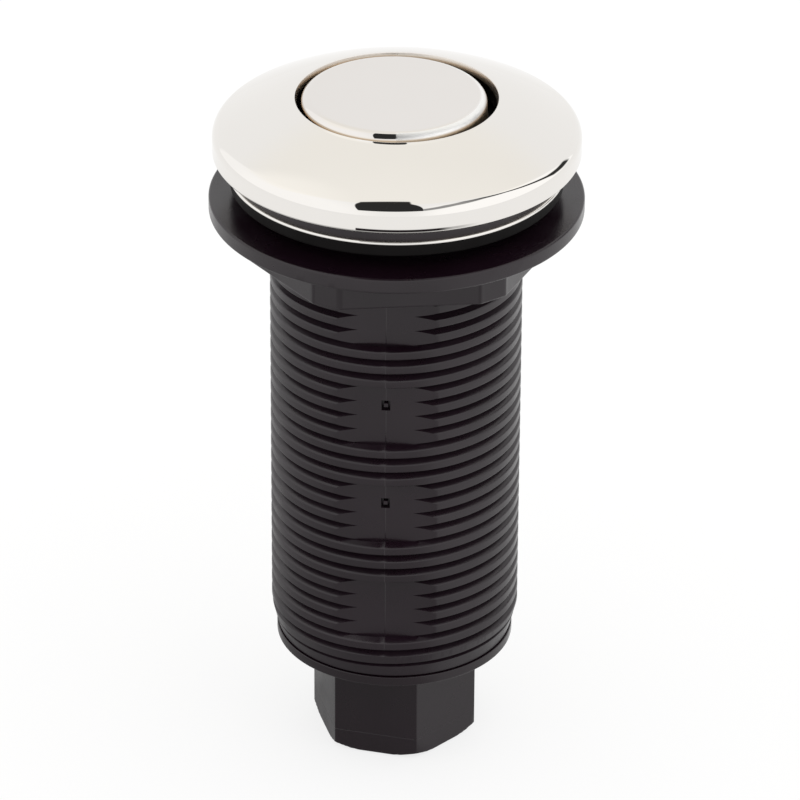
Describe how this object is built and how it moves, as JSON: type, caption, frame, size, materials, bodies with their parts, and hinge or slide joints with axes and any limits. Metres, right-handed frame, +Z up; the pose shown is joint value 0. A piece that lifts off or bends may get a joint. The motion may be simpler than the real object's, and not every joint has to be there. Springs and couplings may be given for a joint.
{
  "type": "sink top air switch",
  "caption": "Pneumatic push button for a sink top: domed metal trim, round button, threaded plastic barrel with flats, flanged nut and hexagonal end cap with tube nipple.",
  "frame": {"origin": "centre of the hexagonal end cap's flat lower end, on the barrel's axis", "axes": "+Z up along the barrel to the button, front of the picture towards -Y"},
  "size_m": [0.047, 0.047, 0.0906],
  "materials": {
    "metal_trim": "polished",
    "metal_button": "polished",
    "barrel_plastic": "satin moulded",
    "nut_plastic": "satin moulded",
    "cap_plastic": "satin moulded",
    "inner_plastic": "moulded",
    "bush_plastic": "moulded",
    "gasket_rubber": "matt",
    "rubber": "matt",
    "steel": "spring steel"
  },
  "bodies": {
    "switch_body": {"trim_flange": "metal_trim", "neck_band": "barrel_plastic", "trim_snap_ring": "steel", "head_seal": "rubber", "guide_ring": "inner_plastic", "wiper_seal": "rubber", "counter_gasket": "gasket_rubber", "threaded_barrel": "barrel_plastic", "guide_bush": "bush_plastic", "spring_seat_washer": "steel", "rebound_washer": "rubber", "return_spring": "steel", "bellows": "rubber", "bellows_clamp": "steel", "end_cap": "cap_plastic", "cap_o_ring": "rubber"},
    "button": {"button_cap": "metal_button", "plunger": "inner_plastic", "stem_clip": "steel"},
    "nut": {"flange_nut": "nut_plastic"}
  },
  "joints": [
    {"name": "button_press", "type": "slide", "parent": "switch_body", "child": "button", "axis": [0, 0, -1], "range_m": [0, 0.0045], "stiffness_N_per_m": 400, "springref_m": -0.004, "deforming": ["return_spring", "bellows"]},
    {"name": "nut_travel", "type": "slide", "parent": "switch_body", "child": "nut", "axis": [0, 0, 1], "range_m": [-0.05, 0.0013]}
  ]
}
